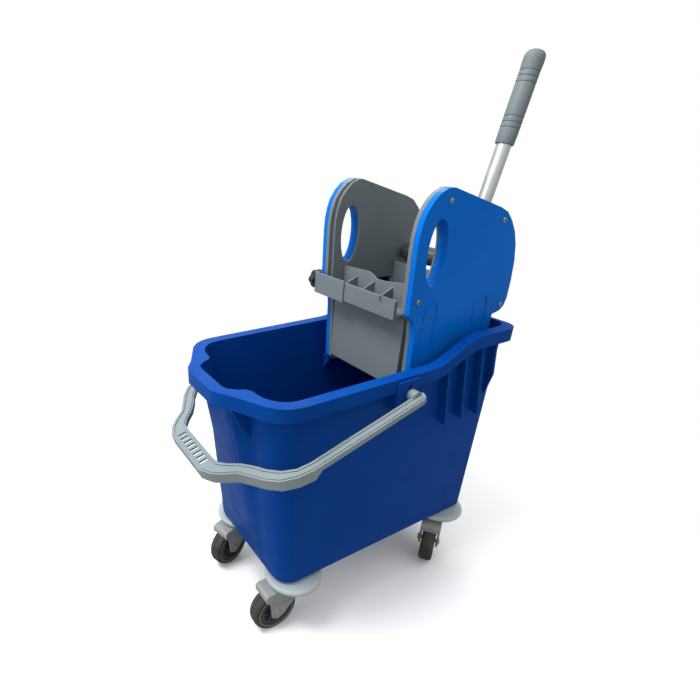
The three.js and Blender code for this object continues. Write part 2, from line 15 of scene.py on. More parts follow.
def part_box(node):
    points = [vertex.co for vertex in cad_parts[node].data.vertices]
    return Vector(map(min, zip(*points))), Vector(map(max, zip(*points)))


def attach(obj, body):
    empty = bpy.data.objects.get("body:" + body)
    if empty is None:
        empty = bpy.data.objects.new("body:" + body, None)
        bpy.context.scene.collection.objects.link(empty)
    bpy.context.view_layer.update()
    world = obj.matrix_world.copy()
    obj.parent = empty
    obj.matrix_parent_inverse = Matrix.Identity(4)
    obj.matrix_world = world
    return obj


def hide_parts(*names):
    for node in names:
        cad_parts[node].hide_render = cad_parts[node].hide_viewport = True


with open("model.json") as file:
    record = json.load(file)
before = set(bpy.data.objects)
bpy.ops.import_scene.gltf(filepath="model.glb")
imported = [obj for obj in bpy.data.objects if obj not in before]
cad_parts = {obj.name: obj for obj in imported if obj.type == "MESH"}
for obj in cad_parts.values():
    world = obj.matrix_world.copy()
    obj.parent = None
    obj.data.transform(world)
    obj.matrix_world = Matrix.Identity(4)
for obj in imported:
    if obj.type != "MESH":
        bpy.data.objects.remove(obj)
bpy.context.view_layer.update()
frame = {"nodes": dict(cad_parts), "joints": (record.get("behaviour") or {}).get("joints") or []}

logging.basicConfig(level=logging.INFO, format="%(message)s")
LOG = logging.getLogger("mop_bucket")
MM = 0.001
CASTORS = ("near_front", "far_front", "near_back", "far_back")
SIDES = ("near", "far")


# ---- finishes -----------------------------------------------------------------------
class Surface(Enum):
    """How a finish catches the light."""

    MOULDED = "moulded"
    RUBBER = "rubber"
    METAL = "metal"


@dataclass(frozen=True)
class Finish:
    """One procedural finish: colours are linear, scales are in waves per metre."""

    name: str
    base: tuple[float, float, float]
    shade: tuple[float, float, float]
    surface: Surface = Surface.MOULDED
    roughness: float = 0.42
    grain_scale: float = 1500.0
    grain: float = 0.06
    mottle_scale: float = 9.0
    scuff: float = 0.12
    scuff_stretch: tuple[float, float, float] = (14.0, 60.0, 120.0)
    grime: float = 0.0
    coat: float = 0.0
    shine: float = 0.4

    def material(self) -> bpy.types.Material:
        """Builds the node material, or returns the one already built.

        Returns:
            The Blender material of this finish.
        """
        found = bpy.data.materials.get(self.name)
        if found:
            return found
        mat = bpy.data.materials.new(self.name)
        mat.use_nodes = True
        mat.diffuse_color = (*self.base, 1)
        tree = mat.node_tree
        tree.nodes.clear()
        out = tree.nodes.new("ShaderNodeOutputMaterial")
        skin = tree.nodes.new("ShaderNodeBsdfPrincipled")
        tree.links.new(skin.outputs["BSDF"], out.inputs["Surface"])
        coords = tree.nodes.new("ShaderNodeTexCoord").outputs["Object"]
        colour = self._colour(tree, coords)
        tree.links.new(colour, skin.inputs["Base Color"])
        tree.links.new(self._gloss(tree, coords), skin.inputs["Roughness"])
        tree.links.new(self._relief(tree, coords), skin.inputs["Normal"])
        skin.inputs["Metallic"].default_value = 1.0 if self.surface is Surface.METAL else 0.0
        skin.inputs["Coat Weight"].default_value = self.coat
        skin.inputs["Coat Roughness"].default_value = 0.25
        skin.inputs["Specular IOR Level"].default_value = self.shine
        return mat

    def _noise(self, tree: bpy.types.NodeTree, coords: bpy.types.NodeSocket, scale: float,
               detail: float, stretch: tuple[float, float, float] | None = None) -> bpy.types.NodeSocket:
        """Adds a noise texture.

        Args:
            tree: the material's node tree.
            coords: the coordinates to read.
            scale: noise scale.
            detail: octaves of detail.
            stretch: per-axis scale of the coordinates, if not even.

        Returns:
            The noise's factor socket.
        """
        if stretch:
            mapping = tree.nodes.new("ShaderNodeMapping")
            mapping.inputs["Scale"].default_value = stretch
            tree.links.new(coords, mapping.inputs["Vector"])
            coords = mapping.outputs["Vector"]
        noise = tree.nodes.new("ShaderNodeTexNoise")
        noise.inputs["Scale"].default_value = scale
        noise.inputs["Detail"].default_value = detail
        tree.links.new(coords, noise.inputs["Vector"])
        return noise.outputs["Fac"]

    def _ramp(self, tree: bpy.types.NodeTree, value: bpy.types.NodeSocket, low: float, high: float,
              out_low: float, out_high: float) -> bpy.types.NodeSocket:
        """Maps one range of a value to another.

        Args:
            tree: the material's node tree.
            value: the socket to map.
            low: lower end of the input range.
            high: upper end of the input range.
            out_low: result at the lower end.
            out_high: result at the upper end.

        Returns:
            The result's socket.
        """
        node = tree.nodes.new("ShaderNodeMapRange")
        for key, number in (("From Min", low), ("From Max", high), ("To Min", out_low), ("To Max", out_high)):
            node.inputs[key].default_value = number
        tree.links.new(value, node.inputs["Value"])
        return node.outputs["Result"]

    def _mix(self, tree: bpy.types.NodeTree, factor: bpy.types.NodeSocket, a: bpy.types.NodeSocket | tuple,
             b: bpy.types.NodeSocket | tuple) -> bpy.types.NodeSocket:
        """Mixes two colours by a factor.

        Args:
            tree: the material's node tree.
            factor: socket that blends from a to b.
            a: first colour, as a socket or RGB.
            b: second colour, as a socket or RGB.

        Returns:
            The mixed colour's socket.
        """
        node = tree.nodes.new("ShaderNodeMix")
        node.data_type = "RGBA"
        tree.links.new(factor, node.inputs["Factor"])
        for key, value in (("A", a), ("B", b)):
            socket = [s for s in node.inputs if s.name == key and s.type == "RGBA"][0]
            if isinstance(value, tuple):
                socket.default_value = (*value, 1)
            else:
                tree.links.new(value, socket)
        return [s for s in node.outputs if s.type == "RGBA"][0]

    def _colour(self, tree: bpy.types.NodeTree, coords: bpy.types.NodeSocket) -> bpy.types.NodeSocket:
        """Base colour with slow mottling, pale scuffs and grime near the floor.

        Args:
            tree: the material's node tree.
            coords: the coordinates to read.

        Returns:
            The colour's socket.
        """
        slow = self._ramp(tree, self._noise(tree, coords, self.mottle_scale, 3), 0.35, 0.65, 0, 1)
        colour = self._mix(tree, slow, self.base, self.shade)
        fine = self._noise(tree, coords, 1.0, 4, self.scuff_stretch)
        marks = self._ramp(tree, fine, 0.66, 0.74, 0, self.scuff)
        pale = tuple(min(1.0, 0.55 * c + 0.3) for c in self.base)
        colour = self._mix(tree, marks, colour, pale)
        if self.grime > 0:
            split = tree.nodes.new("ShaderNodeSeparateXYZ")
            tree.links.new(coords, split.inputs[0])
            low = self._ramp(tree, split.outputs["Z"], 0.02, 0.16, self.grime, 0)
            patch = self._ramp(tree, self._noise(tree, coords, 45, 5), 0.35, 0.7, 0.1, 1)
            both = tree.nodes.new("ShaderNodeMath")
            both.operation = "MULTIPLY"
            tree.links.new(low, both.inputs[0])
            tree.links.new(patch, both.inputs[1])
            colour = self._mix(tree, both.outputs[0], colour, (0.16, 0.13, 0.1))
        return colour

    def _gloss(self, tree: bpy.types.NodeTree, coords: bpy.types.NodeSocket) -> bpy.types.NodeSocket:
        """Roughness that wanders with handling marks.

        Args:
            tree: the material's node tree.
            coords: the coordinates to read.

        Returns:
            The roughness socket.
        """
        wander = self._noise(tree, coords, 28, 5)
        return self._ramp(tree, wander, 0.3, 0.7, max(0.05, self.roughness - 0.07), self.roughness + 0.1)

    def _relief(self, tree: bpy.types.NodeTree, coords: bpy.types.NodeSocket) -> bpy.types.NodeSocket:
        """Fine tool grain over a slight long-wave unevenness of the moulding.

        Args:
            tree: the material's node tree.
            coords: the coordinates to read.

        Returns:
            The normal's socket.
        """
        wave = tree.nodes.new("ShaderNodeBump")
        wave.inputs["Strength"].default_value = 0.10
        wave.inputs["Distance"].default_value = 0.0015
        tree.links.new(self._noise(tree, coords, 16, 1), wave.inputs["Height"])
        grain = tree.nodes.new("ShaderNodeBump")
        grain.inputs["Strength"].default_value = self.grain * 4
        grain.inputs["Distance"].default_value = 0.0002
        stretch = (self.grain_scale, self.grain_scale, self.grain_scale)
        if self.surface is Surface.METAL:
            stretch = (self.grain_scale * 0.1, self.grain_scale, self.grain_scale * 0.1)
        tree.links.new(self._noise(tree, coords, 1.0, 2, stretch), grain.inputs["Height"])
        tree.links.new(wave.outputs["Normal"], grain.inputs["Normal"])
        return grain.outputs["Normal"]


TUB_BLUE = Finish("tub_polypropylene", (0.0012, 0.0520, 0.2750), (0.0010, 0.0465, 0.2500),
                  roughness=0.36, scuff=0.03, grime=0.10, shine=0.03)
CASING_BLUE = Finish("casing_polypropylene", (0.0010, 0.1450, 0.5900), (0.0008, 0.1300, 0.5400),
                     roughness=0.28, scuff=0.05, shine=0.06)
PANEL_GREY = Finish("panel_grey", (0.150, 0.178, 0.190), (0.134, 0.160, 0.172), roughness=0.5, scuff=0.14)
HANDLE_GREY = Finish("handle_grey", (0.215, 0.258, 0.270), (0.196, 0.236, 0.248), roughness=0.42,
                     scuff=0.14, shine=0.3)
FORK_GREY = Finish("fork_nylon", (0.310, 0.340, 0.350), (0.265, 0.290, 0.300), roughness=0.45,
                   scuff=0.2, grime=0.6, shine=0.3)
BUMPER_GREY = Finish("bumper_grey", (0.400, 0.455, 0.470), (0.370, 0.420, 0.434), roughness=0.5,
                     scuff=0.2, grime=0.25, shine=0.3)
TYRE_BLACK = Finish("tyre_rubber", (0.010, 0.009, 0.008), (0.022, 0.020, 0.018), Surface.RUBBER,
                    roughness=0.62, grain=0.12, scuff=0.15, grime=0.4)
RING_GREY = Finish("wheel_ring", (0.230, 0.230, 0.225), (0.180, 0.180, 0.175), roughness=0.55, grime=0.4)
HUB_DARK = Finish("hub_nylon", (0.036, 0.041, 0.046), (0.028, 0.032, 0.036), roughness=0.34, scuff=0.18)
KNOB_BLACK = Finish("knob_black", (0.008, 0.009, 0.014), (0.012, 0.013, 0.018), roughness=0.36)
GRIP_GREY = Finish("grip_rubber", (0.145, 0.176, 0.186), (0.128, 0.156, 0.165), Surface.RUBBER,
                   roughness=0.6, grain=0.12, scuff=0.1)
ZINC = Finish("zinc_steel", (0.420, 0.420, 0.410), (0.330, 0.330, 0.320), Surface.METAL, roughness=0.4,
              scuff=0.15, grime=0.3)
ALU = Finish("satin_aluminium", (0.800, 0.830, 0.840), (0.750, 0.780, 0.790), Surface.METAL,
             roughness=0.36, scuff=0.08)


# ---- mesh tools ---------------------------------------------------------------------
def new_object(name: str, mesh: bpy.types.Mesh) -> bpy.types.Object:
    """Links a mesh to the scene as an object at the origin."""
    obj = bpy.data.objects.new(name, mesh)
    bpy.context.scene.collection.objects.link(obj)
    return obj


def soften(mesh: bpy.types.Mesh, angle: float = 35.0) -> None:
    """Smooth shading, with edges sharper than an angle kept crisp.

    Args:
        mesh: the mesh to shade.
        angle: the limit in degrees.
    """
    mesh.polygons.foreach_set("use_smooth", [True] * len(mesh.polygons))
    mesh.set_sharp_from_angle(angle=math.radians(angle))


def dress(obj: bpy.types.Object, finish: Finish) -> bpy.types.Object:
    """Gives an object one finish on all its faces."""
    obj.data.materials.clear()
    obj.data.materials.append(finish.material())
    return obj


def settle(obj: bpy.types.Object, body: str, nodes: tuple[str, ...] = ()) -> bpy.types.Object:
    """Makes a finished piece ride a body and stand for its CAD nodes.

    Args:
        obj: the piece.
        body: the CAD body it moves with.
        nodes: the CAD nodes it stands for.

    Returns:
        The same piece.
    """
    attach(obj, body)
    if nodes:
        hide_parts(*nodes)
    return obj


def bake(obj: bpy.types.Object) -> bpy.types.Object:
    """Turns an object's modifiers into plain mesh and removes them.

    Args:
        obj: the object to change.

    Returns:
        The same object.
    """
    graph = bpy.context.evaluated_depsgraph_get()
    mesh = bpy.data.meshes.new_from_object(obj.evaluated_get(graph), depsgraph=graph)
    obj.modifiers.clear()
    old = obj.data
    obj.data = mesh
    bpy.data.meshes.remove(old)
    return obj


def refined(node: str, name: str, edge: float, finish: Finish, segments: int = 2) -> bpy.types.Object:
    """A copy of a CAD node with merged faces and rounded edges.

    Args:
        node: the CAD node's name.
        name: the new piece's name.
        edge: edge rounding, in metres.
        finish: the piece's finish.
        segments: steps across each rounded edge.

    Returns:
        The new piece, not yet riding on a body.
    """
    mesh = frame["nodes"][node].data.copy()
    mesh.name = name
    work = bmesh.new()
    work.from_mesh(mesh)
    bmesh.ops.remove_doubles(work, verts=work.verts, dist=3e-6)
    bmesh.ops.dissolve_limit(work, angle_limit=math.radians(0.8), verts=work.verts, edges=work.edges)
    work.to_mesh(mesh)
    work.free()
    if mesh.has_custom_normals:
        mesh.free_normals_split() if hasattr(mesh, "free_normals_split") else None
    obj = new_object(name, mesh)
    bevel = obj.modifiers.new("edges", "BEVEL")
    bevel.width = edge
    bevel.segments = segments
    bevel.limit_method = "ANGLE"
    bevel.angle_limit = math.radians(32)
    bevel.use_clamp_overlap = True
    normals = obj.modifiers.new("normals", "WEIGHTED_NORMAL")
    normals.keep_sharp = True
    mesh.polygons.foreach_set("use_smooth", [True] * len(mesh.polygons))
    bake(obj)
    return dress(obj, finish)


def turned(name: str, profile: list[tuple[float, float]], place: Matrix, finish: Finish,
           segments: int = 72, lobes: tuple[int, float] = (0, 0.0)) -> bpy.types.Object:
    """A turned piece from a profile of radius and height, closed at its poles or on itself.

    Args:
        name: the piece's name.
        profile: points of radius and height, in metres; a run that starts and ends on the
            axis gives a solid of one skin, any other run closes on itself.
        place: where local +Z and the origin go.
        finish: the piece's finish.
        segments: steps around.
        lobes: count and depth of a scalloped outline.

    Returns:
        The new piece.
    """
    poles = profile[0][0] < 1e-9 and profile[-1][0] < 1e-9
    verts: list[Vector] = []
    rings: list[list[int]] = []
    for radius, height in profile:
        if radius < 1e-9:
            rings.append([len(verts)])
            verts.append(Vector((0, 0, height)))
            continue
        rings.append(list(range(len(verts), len(verts) + segments)))
        for i in range(segments):
            turn = 2 * math.pi * i / segments
            wide = radius + (lobes[1] * math.cos(lobes[0] * turn) if lobes[0] else 0)
            verts.append(Vector((wide * math.cos(turn), wide * math.sin(turn), height)))
    pairs = list(zip(rings, rings[1:])) + ([] if poles else [(rings[-1], rings[0])])
    faces: list[tuple[int, ...]] = []
    for low, high in pairs:
        for i in range(segments if len(low) + len(high) > 2 else 0):
            j = (i + 1) % segments
            if len(low) == 1:
                faces.append((low[0], high[j], high[i]))
            elif len(high) == 1:
                faces.append((low[i], low[j], high[0]))
            else:
                faces.append((low[i], low[j], high[j], high[i]))
    mesh = bpy.data.meshes.new(name)
    mesh.from_pydata([place @ v for v in verts], [], faces)
    work = bmesh.new()
    work.from_mesh(mesh)
    bmesh.ops.recalc_face_normals(work, faces=work.faces)
    work.to_mesh(mesh)
    work.free()
    soften(mesh, 30)
    return dress(new_object(name, mesh), finish)


def prism(name: str, outline: list[tuple[float, float]], depth: float, place: Matrix, finish: Finish,
          edge: float = 0.0) -> bpy.types.Object:
    """A closed prism from an outline in local XY, standing along local +Z.

    Args:
        name: the piece's name.
        outline: corners of the outline, in order, in metres.
        depth: height of the prism, in metres.
        place: where the local frame stands.
        finish: the piece's finish.
        edge: edge rounding, in metres, or 0 for none.

    Returns:
        The prism as an object.
    """
    count = len(outline)
    verts = [place @ Vector((x, y, z)) for z in (0.0, depth) for x, y in outline]
    faces = [tuple(reversed(range(count))), tuple(range(count, 2 * count))]
    faces += [(i, (i + 1) % count, count + (i + 1) % count, count + i) for i in range(count)]
    mesh = bpy.data.meshes.new(name)
    mesh.from_pydata(verts, [], faces)
    work = bmesh.new()
    work.from_mesh(mesh)
    bmesh.ops.recalc_face_normals(work, faces=work.faces)
    work.to_mesh(mesh)
    work.free()
    obj = new_object(name, mesh)
    if edge:
        bevel = obj.modifiers.new("edges", "BEVEL")
        bevel.width = edge
        bevel.segments = 2
        bevel.limit_method = "ANGLE"
        bevel.angle_limit = math.radians(32)
        bake(obj)
    soften(obj.data)
    return dress(obj, finish)


def join(name: str, parts: list[bpy.types.Object]) -> bpy.types.Object:
    """Joins pieces of one body into one object, keeping each one's finish.

    Args:
        name: the joined piece's name.
        parts: the pieces, which are removed.

    Returns:
        The joined object.
    """
    work = bmesh.new()
    mesh = bpy.data.meshes.new(name)
    for part in parts:
        base = len(mesh.materials)
        for mat in part.data.materials:
            mesh.materials.append(mat)
        copy = part.data.copy()
        copy.polygons.foreach_set("material_index", [base] * len(copy.polygons))
        work.from_mesh(copy)
        bpy.data.meshes.remove(copy)
    work.to_mesh(mesh)
    work.free()
    for part in parts:
        bpy.data.objects.remove(part)
    soften(mesh, 32)
    return new_object(name, mesh)


# ---- repeated pieces ----------------------------------------------------------------
class Spread(Enum):
    """How a repeated piece is laid out."""

    ON_POINTS = "on points"
    ON_LINE = "on a line"
    ON_RING = "on a ring"


@dataclass
class Repeat:
    """A geometry-nodes layout of one small shape, realised into a plain mesh."""

    name: str
    shape: bpy.types.Object
    finish: Finish
    spread: Spread
    count: int = 8
    start: tuple[float, float, float] = (0, 0, 0)
    step: tuple[float, float, float] = (0, 0, 0)
    radius: float = 0.01
    points: list[tuple[float, float, float]] = field(default_factory=list)

    def build(self, place: Matrix | None = None) -> bpy.types.Object:
        """Runs the tree and returns the piece.

        Args:
            place: turns and moves the finished layout, if given.

        Returns:
            One plain mesh object.
        """
        base = bpy.data.meshes.new(self.name)
        base.from_pydata(self.points, [], [])
        obj = new_object(self.name, base)
        tree = self._tree()
        mod = obj.modifiers.new("layout", "NODES")
        mod.node_group = tree
        values = {"Count": self.count, "Start": self.start, "Step": self.step, "Radius": self.radius,
                  "Shape": self.shape, "Finish": self.finish.material()}
        for item in tree.interface.items_tree:
            if item.item_type == "SOCKET" and item.in_out == "INPUT" and item.name in values:
                mod[item.identifier] = values[item.name]
        bake(obj)
        bpy.data.objects.remove(self.shape)
        if place is not None:
            obj.data.transform(place)
        soften(obj.data)
        return dress(obj, self.finish)

    def _tree(self) -> bpy.types.NodeTree:
        """Builds the layout's node tree, with named inputs for its sizes.

        Returns:
            The node tree.
        """
        tree = bpy.data.node_groups.new(f"{self.name}_layout", "GeometryNodeTree")
        face = tree.interface
        face.new_socket("Geometry", in_out="INPUT", socket_type="NodeSocketGeometry")
        face.new_socket("Count", in_out="INPUT", socket_type="NodeSocketInt")
        face.new_socket("Start", in_out="INPUT", socket_type="NodeSocketVector")
        face.new_socket("Step", in_out="INPUT", socket_type="NodeSocketVector")
        face.new_socket("Radius", in_out="INPUT", socket_type="NodeSocketFloat")
        face.new_socket("Shape", in_out="INPUT", socket_type="NodeSocketObject")
        face.new_socket("Finish", in_out="INPUT", socket_type="NodeSocketMaterial")
        face.new_socket("Geometry", in_out="OUTPUT", socket_type="NodeSocketGeometry")
        nodes, links = tree.nodes, tree.links
        given = nodes.new("NodeGroupInput")
        result = nodes.new("NodeGroupOutput")
        place = nodes.new("GeometryNodeInstanceOnPoints")
        info = nodes.new("GeometryNodeObjectInfo")
        links.new(given.outputs["Shape"], info.inputs["Object"])
        links.new(info.outputs["Geometry"], place.inputs["Instance"])
        if self.spread is Spread.ON_POINTS:
            links.new(given.outputs["Geometry"], place.inputs["Points"])
        elif self.spread is Spread.ON_LINE:
            line = nodes.new("GeometryNodeMeshLine")
            line.mode = "OFFSET"
            links.new(given.outputs["Count"], line.inputs["Count"])
            links.new(given.outputs["Start"], line.inputs["Start Location"])
            links.new(given.outputs["Step"], line.inputs["Offset"])
            links.new(line.outputs["Mesh"], place.inputs["Points"])
        else:
            self._ring(nodes, links, given, place)
        real = nodes.new("GeometryNodeRealizeInstances")
        coat = nodes.new("GeometryNodeSetMaterial")
        links.new(place.outputs["Instances"], real.inputs["Geometry"])
        links.new(real.outputs["Geometry"], coat.inputs["Geometry"])
        links.new(given.outputs["Finish"], coat.inputs["Material"])
        links.new(coat.outputs["Geometry"], result.inputs["Geometry"])
        return tree

    def _ring(self, nodes: bpy.types.Nodes, links: bpy.types.NodeLinks, given: bpy.types.Node,
              place: bpy.types.Node) -> None:
        """Points on a circle, each instance turned to face outwards.

        Args:
            nodes: the layout's nodes.
            links: the layout's links.
            given: the layout's input node.
            place: the node that places the instances.
        """
        ring = nodes.new("GeometryNodeMeshCircle")
        links.new(given.outputs["Count"], ring.inputs["Vertices"])
        links.new(given.outputs["Radius"], ring.inputs["Radius"])
        links.new(ring.outputs["Mesh"], place.inputs["Points"])
        spot = nodes.new("GeometryNodeInputPosition")
        align = nodes.new("FunctionNodeAlignRotationToVector")
        align.axis = "X"
        links.new(spot.outputs["Position"], align.inputs["Vector"])
        links.new(align.outputs["Rotation"], place.inputs["Rotation"])


# ---- frames taken from the CAD ------------------------------------------------------
def middle(node: str) -> Vector:
    """Middle of a CAD node's box."""
    low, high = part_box(node)
    return (low + high) / 2


def along_y(at: Vector) -> Matrix:
    """Place whose local +Z runs along +Y."""
    return Matrix.Translation(at) @ Matrix.Rotation(-math.pi / 2, 4, "X")


# ---- sub-assemblies -----------------------------------------------------------------
@dataclass
class Tub:
    """The moulded tub with its rim."""

    edge: float = 0.9 * MM

    def build(self) -> None:
        """Builds the tub's skin."""
        tub = refined("bucket_tub", "tub_moulding", self.edge, TUB_BLUE)
        settle(tub, "bucket", ("bucket_tub",))


@dataclass
class CarryHandle:
    """The swinging handle and its two pivot pins."""

    edge: float = 0.8 * MM

    def build(self) -> None:
        """Builds the handle moulding and the pin caps."""
        bail = refined("bail_handle", "carry_handle", self.edge, HANDLE_GREY)
        settle(bail, "handle", ("bail_handle",))
        for side in SIDES:
            node = f"bail_pin_{side}"
            pin = refined(node, f"handle_pin_{side}", 0.5 * MM, HANDLE_GREY)
            settle(pin, "bucket", (node,))


@dataclass
class Castor:
    """One swivel castor with its bumper disc."""

    corner: str
    radius: float = 40 * MM
    width: float = 24 * MM
    bumper: float = 47 * MM

    def build(self) -> None:
        """Builds the fixed, swivelling and rolling parts."""
        self._bumper()
        self._fork()
        self._wheel()

    def _axle_place(self) -> Matrix:
        """Wheel centre with local +Z along the axle."""
        joint = [j for j in frame["joints"] if j["name"] == f"roll_{self.corner}"][0]
        axis = Vector(joint["axis"]).normalized()
        turn = Vector((0, 0, 1)).rotation_difference(axis).to_matrix().to_4x4()
        return Matrix.Translation(Vector(joint["pos_m"])) @ turn

    def _bumper(self) -> None:
        """Bumper disc with a soft rounded edge and a shallow dished top."""
        node = f"castor_bumper_{self.corner}"
        low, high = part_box(node)
        centre = Vector(((low.x + high.x) / 2, (low.y + high.y) / 2, low.z))
        thick, r = high.z - low.z, self.bumper
        rounded = [(r - 5 * MM + 5 * MM * math.cos(a), thick / 2 + (thick / 2) * math.sin(a))
                   for a in [math.radians(d) for d in range(-90, 91, 15)]]
        profile = [(7 * MM, 0.0), (r - 12 * MM, 0.0), (r - 9 * MM, 0.2 * MM), *rounded,
                   (r - 9 * MM, thick - 0.3 * MM), (7 * MM, thick)]
        disc = turned(f"bumper_{self.corner}", profile, Matrix.Translation(centre), BUMPER_GREY, 96)
        settle(disc, "bucket", (node,))
        stem = frame["nodes"][f"castor_stem_{self.corner}"]
        dress(stem, ZINC)

    def _fork(self) -> None:
        """Hooded fork, plus the axle with a domed head and a hexagon nut."""
        node = f"castor_fork_{self.corner}"
        fork = refined(node, f"fork_{self.corner}", 0.9 * MM, FORK_GREY)
        settle(fork, f"castor_{self.corner}", (node,))
        place = self._axle_place()
        half = self.width / 2 + 5.7 * MM
        shank = [(0, -half), (3.5 * MM, -half), (3.5 * MM, half), (0, half)]
        dome = [(0, half), (6.4 * MM, half), (6.2 * MM, half + 1 * MM), (4.2 * MM, half + 2.1 * MM),
                (0, half + 2.6 * MM)]
        hexagon = [(6.3 * MM * math.cos(math.radians(60 * i)), 6.3 * MM * math.sin(math.radians(60 * i)))
                   for i in range(6)]
        parts = [turned("shank", shank, place, ZINC, 32), turned("dome", dome, place, ZINC, 32),
                 prism("nut", hexagon, 2.5 * MM, place @ Matrix.Translation((0, 0, -half - 2.5 * MM)),
                       ZINC, 0.4 * MM)]
        axle = join(f"axle_{self.corner}", parts)
        settle(axle, f"castor_{self.corner}", (f"castor_axle_{self.corner}",))

    def _wheel(self) -> None:
        """Spoked wheel centre, and a tyre with a pale ring and a crowned tread."""
        place = self._axle_place()
        core = [(3.9, -12), (8.4, -12), (9.2, -11.4), (9.6, -7.4), (12, -6.6), (20, -6.6), (22.6, -7.4),
                (23.4, -10.2), (24, -10.8), (26.6, -10.8), (27.2, -10.2)]
        core_mm = core + [(r, -z) for r, z in reversed(core)]
        wheel = turned("centre", [(r * MM, z * MM) for r, z in core_mm], place, HUB_DARK)
        spoke = prism("spoke", [(-7.5 * MM, -1 * MM), (7.5 * MM, -1 * MM), (7.5 * MM, 1 * MM),
                                (-7.5 * MM, 1 * MM)], 20.4 * MM,
                      Matrix.Translation((0, 0, -10.2 * MM)), HUB_DARK, 0.4 * MM)
        spokes = Repeat(f"spokes_{self.corner}", spoke, HUB_DARK, Spread.ON_RING, 8,
                        radius=16.2 * MM).build(place)
        settle(join(f"wheel_{self.corner}", [wheel, spokes]), f"wheel_{self.corner}",
               (f"castor_wheel_{self.corner}",))
        top, h = self.radius / MM, self.width / 2 / MM
        side = [(27.5, -10.8), (30.2, -11.7), (30.8, -11.3), (32.8, -11.3), (33.4, -12), (35, -12),
                (37.2, -11), (38.6, -9.2), (top - 0.5, -7), (top, -4.4), (top, -1.7), (top - 0.9, -1.2)]
        both = side + [(r, -z) for r, z in reversed(side)]
        tyre = turned(f"tyre_{self.corner}", [(r * MM, z * MM) for r, z in both], place, TYRE_BLACK, 96)
        settle(tyre, f"wheel_{self.corner}", (f"castor_tyre_{self.corner}",))
        ring = [(30.9, h - 0.9), (32.7, h - 0.9), (32.7, h - 0.2), (30.9, h - 0.2)]
        rings = [turned("ring", [(r * MM, s * z * MM) for r, z in ring], place, RING_GREY, 96)
                 for s in (1, -1)]
        settle(join(f"wheel_rings_{self.corner}", rings), f"wheel_{self.corner}")


@dataclass
class SideCasing:
    """One hollow side of the wringer, its inner panel and its screws."""

    side: str
    head: float = 3.8 * MM

    def build(self) -> None:
        """Builds the two half shells and the screw heads."""
        outer, inner = f"casing_outer_{self.side}", f"casing_inner_{self.side}"
        shell = refined(outer, f"side_shell_{self.side}", 1.4 * MM, CASING_BLUE, 3)
        settle(shell, "bucket", (outer,))
        panel = refined(inner, f"side_panel_{self.side}", 0.7 * MM, PANEL_GREY)
        settle(panel, "bucket", (inner,))
        self._screws()
        for node in (f"drive_sector_{self.side}", f"press_rack_{self.side}", f"return_spring_{self.side}"):
            dress(frame["nodes"][node], ZINC)

    def _screws(self) -> None:
        """Pan-head screws with a cross recess, on the casing's outer face."""
        facing = 1 if self.side == "far" else -1
        names = tuple(f"casing_screw_{self.side}_{i}" for i in range(1, 5))
        spots = []
        for name in names:
            low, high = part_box(name)
            outer = high.y if facing > 0 else low.y
            spots.append(((low.x + high.x) / 2, outer - facing * 1.7 * MM, (low.z + high.z) / 2))
        r = self.head
        head = turned("screw_head", [(0, 0), (r, 0), (r, 0.5 * MM), (r * 0.86, 1.2 * MM),
                                     (r * 0.5, 1.6 * MM), (0, 1.7 * MM)],
                      Matrix.Rotation(-facing * math.pi / 2, 4, "X"), ZINC, 32)
        cross = [(0.45, 0.45), (2.1, 0.45), (2.1, -0.45), (0.45, -0.45), (0.45, -2.1), (-0.45, -2.1),
                 (-0.45, -0.45), (-2.1, -0.45), (-2.1, 0.45), (-0.45, 0.45), (-0.45, 2.1), (0.45, 2.1)]
        cut = prism("recess", [(x * MM, y * MM) for x, y in cross], 2 * MM,
                    Matrix.Rotation(-facing * math.pi / 2, 4, "X") @ Matrix.Rotation(0.5, 4, "Z")
                    @ Matrix.Translation((0, 0, 0.7 * MM)), ZINC)
        cutter = head.modifiers.new("recess", "BOOLEAN")
        cutter.object = cut
        cutter.operation = "DIFFERENCE"
        cutter.solver = "EXACT"
        bake(head)
        bpy.data.objects.remove(cut)
        screws = Repeat(f"screws_{self.side}", head, ZINC, Spread.ON_POINTS, points=spots).build()
        settle(screws, "bucket", names)


@dataclass
class Wringer:
    """Fixed front tray, drain floor, moving press plate and the side clamp."""

    edge: float = 0.7 * MM

    def build(self) -> None:
        """Builds the panels between the side casings and the clamp."""
        for node, name, body in (("front_tray", "tray", "bucket"), ("chamber_sieve", "drain_floor", "bucket"),
                                 ("press_plate", "press_panel", "press"),
                                 ("clamp_bracket", "clamp_arm", "bucket")):
            piece = refined(node, name, self.edge, PANEL_GREY)
            settle(piece, body, (node,))
        self._knob()

    def _knob(self) -> None:
        """Lobed clamp knob with a stepped cap."""
        low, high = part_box("clamp_knob")
        axis = Vector(((low.x + high.x) / 2, 0, (low.z + high.z) / 2))
        y = high.y - 15 * MM
        profile = [(0, 0), (14.2, 0), (15.2, 1), (15.6, 6), (15.2, 10.6), (14.2, 12), (9.6, 12.2),
                   (9, 14.2), (8.2, 15), (0, 15)]
        cap = turned("clamp_cap", [(r * MM, z * MM) for r, z in profile],
                     along_y(Vector((axis.x, y, axis.z))), KNOB_BLACK, 96, (6, 1.1 * MM))
        bolt = turned("clamp_bolt", [(0, 0), (3 * MM, 0), (3 * MM, high.y - low.y - 14 * MM),
                                     (0, high.y - low.y - 14 * MM)],
                      along_y(Vector((axis.x, low.y, axis.z))), ZINC, 32)
        settle(join("knob", [cap, bolt]), "knob", ("clamp_knob",))


